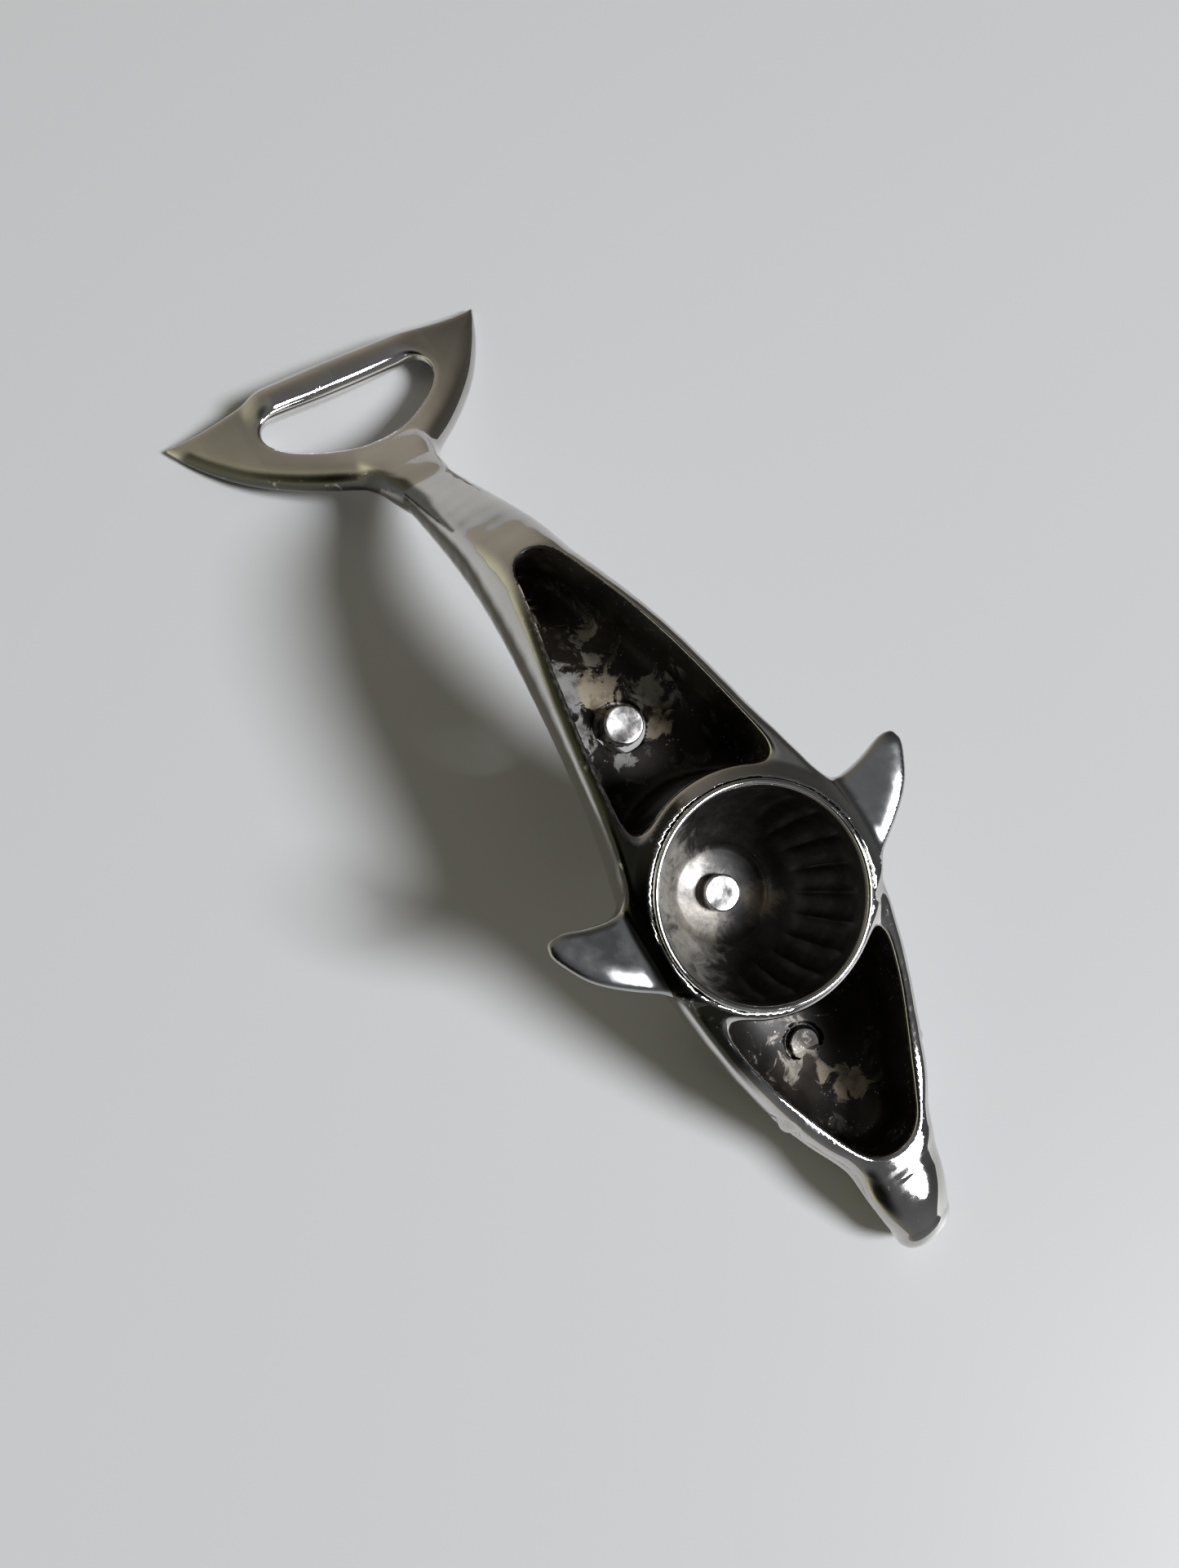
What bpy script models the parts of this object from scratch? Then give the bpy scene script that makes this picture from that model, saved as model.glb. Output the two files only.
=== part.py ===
"""Souvenir bottle opener: a die-cast dolphin that lies belly up.

The design frame has its origin at the centre of the cup's mouth, +X towards the tail, +Y towards
the animal's left side and +Z out of the cup.  Lengths in the tables are millimetres.  The parent
empty tips the design frame so that the nose and both fluke tips stand on Z = 0.
"""
from math import atan, cos, pi, radians, sin, sqrt

import bmesh
import bpy
import numpy as np

MM = 0.001
GAP = 0.3                  # clearance between neighbouring solids
REST_TILT = 21.49          # degrees between the cup's mouth and the table
REST_HEIGHT = 31.92        # cup mouth's centre above the table
REST_SHIFT = -42.31        # puts the middle of the length at X = 0

NOSE_TIP = -57.0
NOSE_CAP = 4.0             # length of the rounded end of the beak
SNOUT_SEAM = -45.0
STOCK_SEAM = 59.5
FLUKE_SEAM = 85.0
WALL = 1.9                 # thickness of the hollow belly's wall

# x, height of the widest line, half width, height above that line, depth below it
HULL = [
    (-53, -9.8, 3.7, 3.5, 3.2),
    (-49, -9.0, 4.8, 4.4, 4.2),
    (-45, -8.6, 5.6, 4.9, 5.2),
    (-41, -8.6, 7.0, 5.6, 7.0),
    (-36, -8.8, 9.6, 7.2, 9.0),
    (-30, -8.8, 12.0, 9.2, 11.2),
    (-24, -8.2, 13.8, 10.6, 13.0),
    (-16, -6.8, 15.6, 12.2, 14.8),
    (-8, -5.8, 16.8, 13.4, 16.0),
    (0, -5.3, 17.3, 14.0, 16.7),
    (8, -5.3, 16.7, 14.0, 16.4),
    (14, -5.8, 15.2, 13.2, 15.6),
    (25, -8.2, 12.9, 11.6, 13.4),
    (36, -12.2, 11.0, 10.5, 11.8),
    (47, -18.6, 8.9, 9.0, 9.6),
    (58, -27.4, 7.0, 7.4, 7.4),
    (69, -38.4, 5.9, 5.9, 5.9),
    (80, -50.2, 5.4, 4.7, 4.5),
    (88, -58.2, 5.8, 3.8, 3.6),
]
# x, height of the belly's edge
DECK = [
    (-48, -3.6), (-41, -4.6), (-34, -4.7), (-27, -4.2), (-20, -3.2), (-14, -2.2), (-7, -1.3), (0, -1.0),
    (8, -1.1), (16, -1.7), (22, -3.1), (30, -5.1), (38, -7.3), (46, -10.2), (54, -14.4), (60, -17.6),
    (66, -22.0),
]

CUP_FLUTES = 21
FLUTE_DEPTH = 0.4
FLUTE_STEPS = 4            # mesh steps per flute
# radius, height, share of the flute depth
CUP_INSIDE = [
    (14.75, 0.0, 0), (14.65, -1.2, 0), (14.35, -3.5, 1), (13.5, -8.5, 1), (12.0, -12.8, 0.8),
    (9.8, -16.2, 0), (7.4, -18.3, 0), (5.6, -19.0, 0),
]
CUP_OUTSIDE = [
    (7.6, -20.4), (10.7, -18.2), (13.1, -14.6), (14.8, -9.6), (15.4, -5.0), (15.6, -1.2), (15.6, 0.0),
]

# half width of each pocket's mouth along x, the arc around the cup that ends it, and its far end
REAR_SIDES = [(13.0, 12.1), (22, 11.2), (30, 9.9), (38, 8.2), (46, 6.1), (52, 4.4), (57.2, 3.0)]
REAR_CUP_ARC = 17.3
FRONT_SIDES = [(-9.8, 13.4), (-17, 12.8), (-21, 11.9), (-27, 10.0), (-34, 7.1), (-39, 4.7), (-41.8, 3.2)]
FRONT_CUP_ARC = 16.6
CUP_CORNER = 1.7           # corner radius beside the cup
END_CORNER = 2.6           # corner radius at the far end

# x, radius, lowest and highest point of each ejector-pin pad
CUP_PAD = (0.0, 2.8, -19.0 + GAP, -17.0)
REAR_PAD = (28.6, 3.0, -21.2, -17.8)
FRONT_PAD = (-26.1, 2.4, -19.4, -18.3)

# span position, leading edge, trailing edge, half thickness, height of the middle
FLIPPER = [
    (15.0, -6.8, 8.8, 2.5, -4.3), (17.0, -5.0, 7.9, 2.2, -3.2), (19.5, -3.4, 7.8, 2.0, -2.7),
    (22.0, -1.4, 8.5, 1.8, -2.2), (24.5, 0.8, 9.3, 1.55, -1.9), (26.8, 3.3, 9.9, 1.3, -1.6),
    (28.2, 5.8, 10.0, 1.0, -1.4), (28.9, 8.2, 9.9, 0.6, -1.3),
]
# depth, leading edge, trailing edge, half thickness
DORSAL_FIN = [
    (-16.0, 2.0, 25.0, 2.3), (-21.0, 5.8, 23.5, 2.0), (-24.0, 9.6, 23.4, 1.8), (-27.0, 13.8, 24.4, 1.5),
    (-29.6, 18.0, 26.2, 1.2), (-31.6, 22.2, 28.0, 0.9), (-32.6, 26.2, 29.0, 0.5),
]

# flukes: outer x, outer y, inner x, inner y, half thickness; from the stock round to the bar
FLUKE_HALF = [
    (81.0, 0.0, 92.3, 0.0, 3.8), (81.0, 5.8, 93.1, 3.0, 3.5), (86.6, 6.6, 94.2, 6.6, 3.0),
    (89.2, 11.4, 96.0, 10.9, 2.7), (92.6, 16.6, 98.2, 14.2, 2.5), (96.4, 21.0, 100.6, 16.2, 2.4),
    (100.8, 25.4, 102.6, 17.1, 2.2), (106.4, 29.6, 104.4, 17.3, 1.9), (113.6, 33.2, 106.0, 16.9, 1.6),
    (113.2, 26.8, 107.3, 15.6, 2.0), (113.4, 20.4, 107.9, 13.2, 2.4), (114.0, 13.6, 108.0, 9.6, 2.7),
    (114.5, 6.6, 108.0, 5.0, 2.8), (114.7, 0.0, 108.0, 0.0, 2.8),
]
FLUKE_LINE = [(80, -50.6), (84, -55.0), (92, -62.5), (100, -68.0), (108, -72.0), (116, -75.2)]
FLUKE_DROOP = 3.8          # fall of the fluke tips below the middle
FLUKE_SPAN = 33.0
FLUKE_SIDES = 10           # mesh steps round one section

HULL_SIDES = 36
HULL_SQUARENESS = 2.35     # 2 is an ellipse, more is boxier
HULL_STEP = 3.0


def spline(points):
    """Natural cubic spline through (x, y) points, as a function of x."""
    x, y = np.array(points, dtype=float).T
    h = np.diff(x)
    matrix = np.eye(len(x))
    right = np.zeros(len(x))
    for i in range(1, len(x) - 1):
        matrix[i, i - 1:i + 2] = h[i - 1], 2 * (h[i - 1] + h[i]), h[i]
        right[i] = 6 * ((y[i + 1] - y[i]) / h[i] - (y[i] - y[i - 1]) / h[i - 1])
    bend = np.linalg.solve(matrix, right)

    def at(q):
        i = int(np.clip(np.searchsorted(x, q) - 1, 0, len(h) - 1))
        a, b = (x[i + 1] - q) / h[i], (q - x[i]) / h[i]
        curve = ((a**3 - a) * bend[i] + (b**3 - b) * bend[i + 1]) * h[i]**2 / 6
        return float(a * y[i] + b * y[i + 1] + curve)
    return at


hull_axis, hull_width, hull_up, hull_down = (
    spline([(row[0], row[column]) for row in HULL]) for column in (1, 2, 3, 4))
deck = spline(DECK)
fluke_line = spline(FLUKE_LINE)


def slope_stretch(line, x):
    """Vertical thickness of a plate of thickness 1 that follows the line at x."""
    rise = line(x + 0.5) - line(x - 0.5)
    return 1 / cos(atan(rise))


# ---------------------------------------------------------------- materials and objects

def chrome(name, colour, roughness):
    material = bpy.data.materials.new(name)
    material.use_nodes = True
    shader = material.node_tree.nodes["Principled BSDF"]
    shader.inputs["Base Color"].default_value = (*colour, 1)
    shader.inputs["Metallic"].default_value = 1.0
    shader.inputs["Roughness"].default_value = roughness
    return material


def add_object(name, mesh_builder, parent, material=None):
    mesh = bpy.data.meshes.new(name)
    bmesh.ops.recalc_face_normals(mesh_builder, faces=mesh_builder.faces)
    mesh_builder.to_mesh(mesh)
    mesh_builder.free()
    mesh.shade_smooth()
    mesh.set_sharp_from_angle(angle=radians(35))
    thing = bpy.data.objects.new(name, mesh)
    bpy.context.collection.objects.link(thing)
    thing.parent = parent
    if material:
        mesh.materials.append(material)
    else:
        thing.hide_render = True
        thing.display_type = "WIRE"
    return thing


def combine(target, cutter, operation):
    boolean = target.modifiers.new(cutter.name, "BOOLEAN")
    boolean.operation = operation
    boolean.object = cutter


def loft(rings):
    """Closed solid through rings of equally many (x, y, z) points, with flat ends."""
    builder = bmesh.new()
    rows = [[builder.verts.new([c * MM for c in point]) for point in ring] for ring in rings]
    for row, following in zip(rows, rows[1:]):
        for i in range(len(row)):
            j = (i + 1) % len(row)
            builder.faces.new((row[i], row[j], following[j], following[i]))
    builder.faces.new(rows[0])
    builder.faces.new(rows[-1])
    return builder


def prism(outline, low, high):
    """Upright solid with the outline's (x, y) points, from height low to height high."""
    return loft([[(x, y, z) for x, y in outline] for z in (low, high)])


def cylinder(x, radius, low, high, sides=28):
    turn = 2 * pi / sides
    return prism([(x + radius * cos(i * turn), radius * sin(i * turn)) for i in range(sides)], low, high)


# ---------------------------------------------------------------- hull

def hull_ring(x, grow, cap=1.0, clip=True):
    """One upright section of the hull; grow widens it, cap shrinks it towards the nose tip."""
    stretch = slope_stretch(hull_axis, x)
    width = (hull_width(x) + grow) * cap
    up = (hull_up(x) + grow) * cap * stretch
    down = (hull_down(x) + grow) * cap * stretch
    lid = deck(x) + max(grow, 0)
    ring = []
    for i in range(HULL_SIDES):
        angle = 2 * pi * i / HULL_SIDES
        across, rise = (np.sign(c) * abs(c)**(2 / HULL_SQUARENESS) for c in (cos(angle), sin(angle)))
        height = hull_axis(x) + (up if rise > 0 else down) * rise
        if clip and x > SNOUT_SEAM - 1:
            height = min(height, lid)
        ring.append((x, width * across, height))
    return ring


def hull_solid(start, end, grow=0.0, clip=True):
    steps = max(2, round((end - start) / HULL_STEP))
    return [hull_ring(start + (end - start) * i / steps, grow, clip=clip) for i in range(steps + 1)]


def nose_rings():
    """Rings of the rounded end of the beak, from its tip."""
    rings = []
    for angle in (8, 25, 45, 65):
        back = NOSE_CAP * (1 - cos(radians(angle)))
        x = NOSE_TIP + back
        ring = hull_ring(NOSE_TIP + NOSE_CAP, 0.0, cap=sin(radians(angle)))
        rings.append([(x, y, z) for _, y, z in ring])
    return rings


def fillet(corner, before, after, radius, steps=5):
    """Arc of the given radius that rounds the corner between two straight sides."""
    corner, before, after = (np.array(p, dtype=float) for p in (corner, before, after))
    a = (before - corner) / np.linalg.norm(before - corner)
    b = (after - corner) / np.linalg.norm(after - corner)
    half = np.arccos(np.clip(a @ b, -1, 1)) / 2
    centre = corner + (a + b) / np.linalg.norm(a + b) * radius / sin(half)
    start = corner + a * radius / np.tan(half) - centre
    end = corner + b * radius / np.tan(half) - centre
    sweep = pi - 2 * half
    points = []
    for i in range(steps + 1):
        share = i / steps
        mix = (sin((1 - share) * sweep) * start + sin(share * sweep) * end) / sin(sweep)
        points.append(tuple(centre + mix))
    return points


def pocket_outline(sides, arc):
    """Mouth of a pocket: an arc round the cup, two straight-ish sides and a blunt far end."""
    side = sorted(sides, key=lambda p: abs(p[0]))
    (near_x, near_y), (far_x, far_y) = side[0], side[-1]
    sign = 1 if far_x > 0 else -1
    near_x = sign * sqrt(arc**2 - near_y**2)
    turn = np.arctan2(near_y, abs(near_x))
    arc_point = (sign * arc * cos(turn * 0.6), arc * sin(turn * 0.6))
    half = [(sign * arc * cos(turn * s), arc * sin(turn * s)) for s in (0, 0.2, 0.4, 0.6)]
    half += fillet((near_x, near_y), arc_point, side[1], CUP_CORNER)
    half += side[1:-1]
    half += fillet((far_x, far_y), side[-2], (far_x, 0), END_CORNER)
    return half + [(x, -y) for x, y in reversed(half[1:])]


# ---------------------------------------------------------------- cup

def cup_ring(radius, height, depth=0.0):
    count = CUP_FLUTES * FLUTE_STEPS
    ring = []
    for i in range(count):
        angle = 2 * pi * i / count
        groove = depth * FLUTE_DEPTH * (0.5 - 0.5 * cos(CUP_FLUTES * angle))
        ring.append(((radius + groove) * cos(angle), (radius + groove) * sin(angle), height))
    return ring


def cup_solid():
    rings = [cup_ring(r, z, depth) for r, z, depth in reversed(CUP_INSIDE)]
    rings += [cup_ring(r, z) for r, z in reversed(CUP_OUTSIDE)]
    return loft(rings)


def cup_seat():
    """Hollow in the hull that receives the cup, one gap larger than the cup's outside."""
    rings = [cup_ring(r + GAP, z - GAP) for r, z in CUP_OUTSIDE]
    rings.append(cup_ring(CUP_OUTSIDE[-1][0] + GAP, 4.0))
    return loft(rings)


# ---------------------------------------------------------------- fins

def blade_section(lead, trail, half_thickness, sides=14):
    """Offsets (along, across) of a lens-shaped section between two edges."""
    middle, half = (lead + trail) / 2, (trail - lead) / 2
    turn = 2 * pi / sides
    return [(middle - half * cos(i * turn), half_thickness * sin(i * turn)) for i in range(sides)]


def flipper_solid(side):
    rings = []
    for span, lead, trail, half, height in FLIPPER:
        section = blade_section(lead, trail, half)
        rings.append([(x, side * span, height + across) for x, across in section])
    return loft(rings)


def dorsal_solid():
    rings = []
    for depth, lead, trail, half in DORSAL_FIN:
        section = blade_section(lead, trail, half)
        rings.append([(x, across, depth) for x, across in section])
    return loft(rings)


def fluke_section(row, side):
    outer_x, outer_y, inner_x, inner_y, half = row
    ring = []
    for i in range(FLUKE_SIDES):
        angle = 2 * pi * i / FLUKE_SIDES
        share = 0.5 - 0.5 * np.sign(cos(angle)) * abs(cos(angle))**0.8
        across = half * np.sign(sin(angle)) * abs(sin(angle))**0.7
        x = outer_x + (inner_x - outer_x) * share
        y = side * (outer_y + (inner_y - outer_y) * share)
        droop = FLUKE_DROOP * (y / FLUKE_SPAN)**2
        ring.append((x, y, fluke_line(x) - droop + across * slope_stretch(fluke_line, x)))
    return ring


def flukes_solid():
    """Ring round the opener eye: up the left fluke, along the bar and down the right fluke."""
    rings = [fluke_section(row, 1) for row in FLUKE_HALF]
    rings += [fluke_section(row, -1) for row in reversed(FLUKE_HALF[1:-1])]
    builder = bmesh.new()
    rows = [[builder.verts.new([c * MM for c in point]) for point in ring] for ring in rings]
    for row, following in zip(rows, rows[1:] + rows[:1]):
        for i in range(FLUKE_SIDES):
            j = (i + 1) % FLUKE_SIDES
            builder.faces.new((row[i], row[j], following[j], following[i]))
    return builder


# ---------------------------------------------------------------- assembly

def build():
    for thing in list(bpy.data.objects):
        bpy.data.objects.remove(thing, do_unlink=True)

    frame = bpy.data.objects.new("casting_frame", None)
    bpy.context.collection.objects.link(frame)
    frame.location = (REST_SHIFT * MM, 0, REST_HEIGHT * MM)
    frame.rotation_euler = (0, -radians(REST_TILT), 0)

    polished = chrome("polished_chrome", (0.55, 0.53, 0.49), 0.12)
    tarnished = chrome("tarnished_chrome", (0.16, 0.14, 0.12), 0.40)
    pad_face = chrome("pad_chrome", (0.62, 0.59, 0.54), 0.30)

    # hull: beak, hollow belly and tail stock
    beak = nose_rings() + hull_solid(NOSE_TIP + NOSE_CAP, SNOUT_SEAM - GAP / 2, clip=False)
    add_object("snout", loft(beak), frame, polished)
    shell = add_object("body_shell", loft(hull_solid(SNOUT_SEAM + GAP / 2, STOCK_SEAM - GAP / 2)),
                       frame, polished)
    add_object("tail_stock", loft(hull_solid(STOCK_SEAM + GAP / 2, FLUKE_SEAM - GAP / 2, clip=False)),
               frame, polished)

    cavity = hull_solid(SNOUT_SEAM + WALL, STOCK_SEAM - 0.5, grow=-WALL, clip=False)
    for name, sides, arc in (("rear_pocket", REAR_SIDES, REAR_CUP_ARC),
                             ("front_pocket", FRONT_SIDES, FRONT_CUP_ARC)):
        limit = add_object(name + "_cavity", loft(cavity), frame)
        pocket = add_object(name, prism(pocket_outline(sides, arc), -34.0, 6.0), frame)
        combine(pocket, limit, "INTERSECT")
        combine(shell, pocket, "DIFFERENCE")
    seat = add_object("cup_seat", cup_seat(), frame)
    combine(shell, seat, "DIFFERENCE")

    # fluted cup and the ejector-pin pads
    add_object("cap_grip_cup", cup_solid(), frame, tarnished)
    add_object("cup_pad", cylinder(*CUP_PAD), frame, pad_face)
    for name, (x, radius, low, high) in (("rear_pad", REAR_PAD), ("front_pad", FRONT_PAD)):
        add_object(name, cylinder(x, radius, low, high), frame, pad_face)
        bore = add_object(name + "_seat", cylinder(x, radius + GAP, low - GAP, high + 1.0), frame)
        combine(shell, bore, "DIFFERENCE")

    # fins, trimmed to the hull's outside
    skin = add_object("hull_skin", loft(hull_solid(SNOUT_SEAM, STOCK_SEAM, grow=GAP)), frame)
    for name, solid in (("left_flipper", flipper_solid(1)), ("right_flipper", flipper_solid(-1)),
                        ("dorsal_fin", dorsal_solid())):
        combine(add_object(name, solid, frame, polished), skin, "DIFFERENCE")

    # flukes, cut square against the tail stock
    flukes = add_object("opener_flukes", flukes_solid(), frame, polished)
    face = FLUKE_SEAM + GAP / 2
    block = [(face - 20, -20), (face, -20), (face, 20), (face - 20, 20)]
    combine(flukes, add_object("stock_face", prism(block, -80.0, -30.0), frame), "DIFFERENCE")


build()
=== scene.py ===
"""Looks of the dolphin bottle opener.

The casting is one smooth plated skin, written as a distance field in the part's design frame. It is
meshed once and then divided by planes at the CAD nodes' seams, and each node's share is closed with
flat caps.
"""
from math import cos, pi, radians, sin

import bmesh
import bpy
import numpy as np
from mathutils import Matrix, Vector


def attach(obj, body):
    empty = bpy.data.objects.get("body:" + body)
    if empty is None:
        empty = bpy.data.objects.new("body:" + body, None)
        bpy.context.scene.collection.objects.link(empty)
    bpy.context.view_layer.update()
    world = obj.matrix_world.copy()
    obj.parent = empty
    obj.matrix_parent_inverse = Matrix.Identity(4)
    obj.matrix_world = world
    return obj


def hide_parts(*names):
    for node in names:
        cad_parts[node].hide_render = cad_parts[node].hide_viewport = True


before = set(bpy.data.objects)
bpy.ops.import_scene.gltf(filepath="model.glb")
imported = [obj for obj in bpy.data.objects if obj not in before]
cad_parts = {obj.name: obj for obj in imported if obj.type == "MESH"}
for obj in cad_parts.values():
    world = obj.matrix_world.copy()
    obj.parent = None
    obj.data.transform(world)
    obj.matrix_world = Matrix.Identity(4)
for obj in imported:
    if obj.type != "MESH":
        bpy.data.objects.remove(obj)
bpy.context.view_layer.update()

# ---------------------------------------------------------------- sizes, in millimetres
# Design frame: origin at the centre of the cup's mouth, +X to the tail, +Y to the animal's left, +Z
# out of the cup. At rest it is tilted about Y, so that the nose and both fluke tips touch the table.

MM = 0.001
REST_TILT = radians(21.49)
REST_SHIFT = -42.31
REST_HEIGHT = 31.92
TO_WORLD = np.array([[cos(REST_TILT), 0, -sin(REST_TILT)], [0, 1, 0], [sin(REST_TILT), 0, cos(REST_TILT)]])
WORLD_START = np.array([REST_SHIFT, 0, REST_HEIGHT])

# mesh cell, and the corners of the box that is meshed
GRID = 0.42
CASTING_LOW, CASTING_HIGH = (-58.5, -35.0, -80.0), (117.0, 35.0, 2.0)
SNOUT_SEAM, STOCK_SEAM, FLUKE_SEAM = -45.0, 59.5, 85.0
FLIPPER_SEAM = 17.6
FIN_SEAM_HEIGHT, FIN_SEAM_SLOPE, FIN_SEAM_END = -22.3, -0.083, 33.0

NOSE_START, NOSE_CAP = -52.4, 3.6
# lean of the snout to +Y, as a bend that starts at an x and a shear of its upper half
SNOUT_BEND_START, SNOUT_BEND, SNOUT_SHEAR = -42.0, 0.005, 0.3
STOCK_END, STOCK_CAP = 85.5, 4.5
SIDE_WALL, FLOOR_WALL, OPEN_TOP = 1.2, 1.9, 60.0

# x, height of the widest line, half width, height above that line, depth below it
HULL = [
    (-53, -9.4, 4.7, 4.5, 3.4), (-49, -9.1, 5.9, 4.8, 4.8), (-45, -8.8, 6.6, 4.4, 5.9),
    (-41, -8.7, 7.3, 4.9, 7.2), (-36, -8.8, 9.6, 7.2, 9.0), (-30, -8.8, 12.0, 9.2, 11.2),
    (-24, -8.2, 13.8, 10.6, 13.0), (-16, -6.8, 15.6, 12.2, 14.8), (-8, -5.8, 16.8, 13.4, 16.0),
    (0, -5.3, 17.3, 14.0, 16.7), (8, -5.3, 16.7, 14.0, 16.4), (14, -5.8, 15.2, 13.2, 15.6),
    (25, -8.2, 12.9, 11.6, 13.4), (36, -12.2, 11.0, 10.5, 11.8), (47, -18.6, 8.9, 9.0, 9.6),
    (58, -27.4, 7.0, 7.4, 7.4), (69, -38.4, 5.7, 5.2, 5.9), (80, -50.2, 4.8, 2.7, 4.5),
    (88, -58.2, 4.6, 0.9, 3.6),
]
ROUND_SECTION, BOXY_TOP, BOXY_SNOUT = 2.3, 3.6, 2.8
# x, height of the belly's edge
DECK = [
    (-48, -4.3), (-41, -4.5), (-34, -4.65), (-27, -4.2), (-20, -3.2), (-14, -2.2), (-7, -1.3), (0, -1.0),
    (8, -1.1), (16, -1.7), (22, -3.1), (30, -5.1), (38, -7.3), (46, -10.2), (54, -14.4), (60, -17.6),
    (66, -22.0),
]
# x, half width of the rear and front pockets' outlines
REAR_SIDE = [(10, 12.3), (16, 11.9), (22, 11.2), (30, 9.9), (38, 8.2), (46, 6.1), (52, 4.4), (60, 2.2)]
REAR_CUP_ARC, REAR_START, REAR_END = 17.8, 6.0, 57.4
FRONT_SIDE = [
    (-46, 1.0), (-41.8, 3.2), (-39, 4.7), (-34, 7.1), (-27, 10.0), (-20, 12.3), (-14, 13.4), (-6, 14.2),
]
FRONT_CUP_ARC, FRONT_START, FRONT_END = 16.9, -5.0, -41.0

# radius, height, share of the flute depth
CUP_INSIDE = [
    (14.75, -0.25, 0), (14.66, -1.2, 0), (14.45, -2.8, 0.2), (14.2, -4.0, 1), (13.5, -8.5, 1),
    (12.0, -12.8, 0.8), (9.8, -16.2, 0), (7.4, -18.2, 0), (5.2, -19.0, 0), (3.9, -19.15, 0),
]
CUP_OUTSIDE = [(7.6, -20.4), (10.7, -18.2), (13.1, -14.6), (14.8, -9.6), (15.4, -5.0), (15.6, -1.2)]
CUP_BOTTOM = -20.4
LIP_INNER, LIP_OUTER, LIP_CROWN = 14.75, 15.6, 0.2
CUP_FLUTES, FLUTE_DEPTH = 21, 0.45

# eye: x, y, z, radius; mouth line: x, z
EYEBALL = (-30.0, 11.2, -7.4, 1.3)
MOUTH = [(-54, -8.6), (-46, -7.6), (-38, -6.9), (-33, -7.2), (-29, -8.2)]
RIPPLE = 0.02

# x, radius, lowest and highest level
CUP_PAD = (0.0, 2.8, -18.7, -17.0)
REAR_PAD = (28.6, 3.0, -21.2, -17.8)
FRONT_PAD = (-26.1, 2.4, -19.4, -18.7)
PAD_ROLL = 0.35
# width and depth of the groove round a pad
REAR_MOAT, FRONT_MOAT = (1.1, 0.9), (0.7, 0.5)

# planform points (along, span), half thickness at a span, and height of the middle at a span
FLIPPER_LEAD = [(9.9, 28.7), (8.3, 29.3), (5.8, 28.4), (3.0, 26.7), (0.0, 23.8), (-2.7, 20.4), (-5.0, 16.9),
                (-7.0, 13.0)]
FLIPPER_TRAIL = [(11.5, 12.5), (8.6, 15.6), (7.8, 18.6), (8.2, 21.6), (9.1, 24.3), (10.0, 27.2), (9.9, 28.7)]
FLIPPER_HALF = [(13, 2.4), (17, 2.1), (24, 1.6), (28, 1.1), (30, 0.8)]
FLIPPER_MIDDLE = [(13, -4.9), (18, -3.7), (30, -0.8)]
FLIPPER_PITCH = 0.11
FIN_LEAD = [
    (29.4, -32.8), (27.6, -32.9), (23.0, -31.4), (17.6, -28.6), (12.6, -25.0), (7.6, -20.4), (2.0, -15.0),
]
FIN_TRAIL = [(26.0, -14.0), (23.6, -20.0), (23.6, -24.0), (25.0, -27.6), (27.4, -30.8), (29.4, -32.8)]
FIN_HALF = [(15, 2.6), (21, 2.1), (27, 1.6), (33, 0.8)]

# x, height of the flukes' middle line
FLUKE_LINE = [
    (76, -46.2), (80, -50.6), (84, -55.0), (92, -62.5), (100, -68.0), (108, -72.0), (116, -75.2),
    (120, -76.7),
]
FLUKE_HALF = [(0, 2.9), (10, 2.7), (20, 2.3), (27, 1.6), (34, 0.7)]
FLUKE_DROOP, FLUKE_SPAN = 3.8, 33.0
# lean of the arms' leading side, and the bar's drop, tilt and bow along the span
FLUKE_DRAFT = 0.6
BAR_DROP, BAR_TILT, BAR_BOW = 0.4, 0.055, 0.0025
FLUKE_LEAD = [
    (113.7, 33.3), (109.0, 31.0), (104.2, 28.0), (99.0, 23.8), (94.2, 18.6), (90.0, 12.9), (86.9, 8.4),
    (83.8, 5.8), (80.5, 3.5), (79.5, 0.0),
]
FLUKE_TRAIL = [
    (113.7, 33.3), (113.1, 28.6), (113.1, 24.0), (113.6, 18.5), (114.3, 11.5), (114.7, 5.0), (114.8, 0.0),
]
EYE = [
    (92.3, 0.0), (93.1, 4.4), (95.1, 8.8), (98.0, 13.0), (101.4, 16.2), (104.6, 17.2), (107.0, 16.0),
    (108.0, 12.0), (108.1, 6.0), (108.1, 0.0),
]


# ---------------------------------------------------------------- curves

def spline(points):
    """Natural cubic spline through (x, y) points, as a function that also gives the slope."""
    x, y = np.array(points, dtype=float).T
    h = np.diff(x)
    matrix = np.eye(len(x))
    right = np.zeros(len(x))
    for i in range(1, len(x) - 1):
        matrix[i, i - 1:i + 2] = h[i - 1], 2 * (h[i - 1] + h[i]), h[i]
        right[i] = 6 * ((y[i + 1] - y[i]) / h[i] - (y[i] - y[i - 1]) / h[i - 1])
    bend = np.linalg.solve(matrix, right)

    def at(q, slope=False):
        q = np.clip(q, x[0], x[-1])
        i = np.clip(np.searchsorted(x, q) - 1, 0, len(h) - 1)
        a, b = (x[i + 1] - q) / h[i], (q - x[i]) / h[i]
        if slope:
            curve = ((3 * b**2 - 1) * bend[i + 1] - (3 * a**2 - 1) * bend[i]) * h[i] / 6
            return (y[i + 1] - y[i]) / h[i] + curve
        curve = ((a**3 - a) * bend[i] + (b**3 - b) * bend[i + 1]) * h[i]**2 / 6
        return a * y[i] + b * y[i + 1] + curve
    return at


def trace(points, step=0.3):
    """Dense polyline on a smooth curve through (x, y) points."""
    points = np.array(points, dtype=float)
    reach = np.concatenate([[0], np.cumsum(np.linalg.norm(np.diff(points, axis=0), axis=1))])
    t = np.linspace(0, reach[-1], max(3, int(reach[-1] / step)))
    return np.stack([spline(list(zip(reach, column)))(t) for column in points.T], axis=1)


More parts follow.
